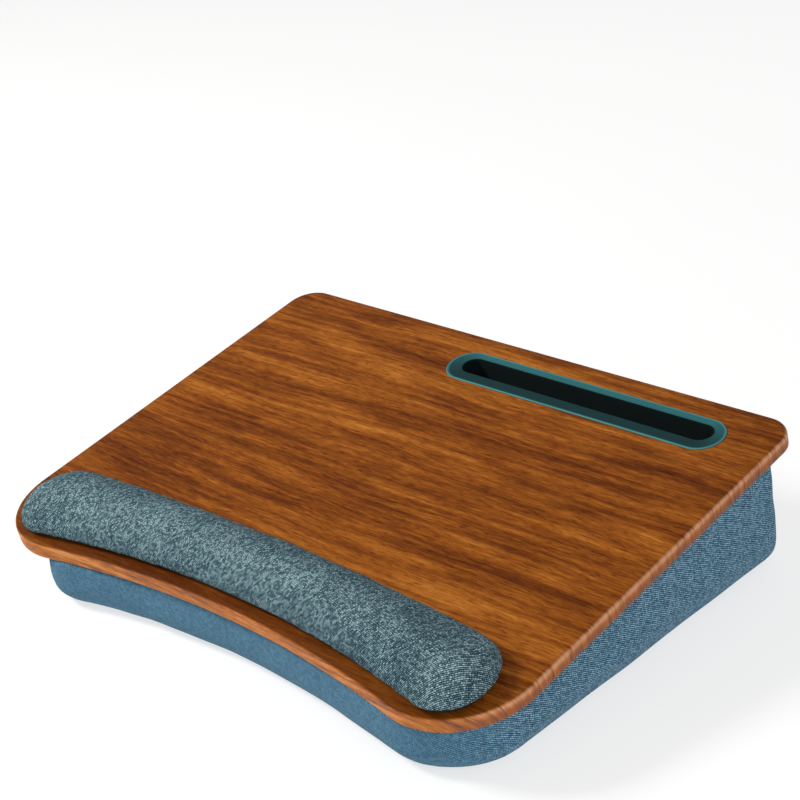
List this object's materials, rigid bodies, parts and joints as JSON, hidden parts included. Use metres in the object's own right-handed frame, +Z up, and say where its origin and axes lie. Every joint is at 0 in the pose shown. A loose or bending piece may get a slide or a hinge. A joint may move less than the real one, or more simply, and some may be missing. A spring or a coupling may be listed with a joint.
{
  "type": "cushioned lap desk",
  "caption": "Wedge lap desk: wood grain board on a fabric cushion, padded wrist rest along a hollow front edge, long recessed phone slot near the rear.",
  "frame": {"origin": "centre of the bounding box's bottom, on the surface the cushion rests on", "axes": "+X to the user's right, +Y away from the user, +Z up"},
  "size_m": [0.464, 0.3419, 0.1039],
  "materials": {
    "fibreboard": "raw medium density fibreboard, sealed by the film above it",
    "walnut_film": "satin printed wood grain film with the grain along X, lighter band on the edge",
    "teal_moulding": "satin moulded plastic, dark inside the well",
    "adhesive_sheet": "pressure sensitive sheet",
    "base_plate": "plain stiff sheet",
    "pad_foam": "soft open cell foam",
    "melange_weave": "heathered teal and grey twill, matte, soft wrinkles",
    "hook_tape": "hook side of a fastening tape",
    "loop_tape": "loop side of a fastening tape",
    "denim_weave": "denim blue ribbed weave with light specks, matte",
    "cushion_foam": "soft open cell foam",
    "grip_fabric": "dark fabric with raised grip dots",
    "zip_tape": "herringbone tape",
    "zip_elements": "nylon elements",
    "zip_metal": "dark enamelled die casting"
  },
  "bodies": {
    "desk": {"board_core": "fibreboard", "board_laminate": "walnut_film", "slot_liner": "teal_moulding", "wrist_rest_adhesive": "adhesive_sheet", "wrist_rest_base": "base_plate", "wrist_rest_foam": "pad_foam", "wrist_rest_cover": "melange_weave", "hook_strips": "hook_tape", "loop_strips": "loop_tape", "cushion_cover": "denim_weave", "cushion_foam": "cushion_foam", "cushion_grip_panel": "grip_fabric", "zip_tape_upper": "zip_tape", "zip_tape_lower": "zip_tape", "zip_coil_upper": "zip_elements", "zip_coil_lower": "zip_elements", "zip_end_stops": "zip_metal"},
    "zip_slider": {"zip_slider": "zip_metal"},
    "zip_pull": {"zip_pull": "zip_metal"}
  },
  "joints": [
    {"name": "zip_slide", "type": "slide", "parent": "desk", "child": "zip_slider", "axis": [-1, 0, 0], "range_m": [0, 0.3134]},
    {"name": "zip_pull_hinge", "type": "hinge", "parent": "zip_slider", "child": "zip_pull", "pos_m": [0.1567, 0.17013, 0.045], "axis": [0, 0, -1], "range_deg": [0, 175]}
  ]
}
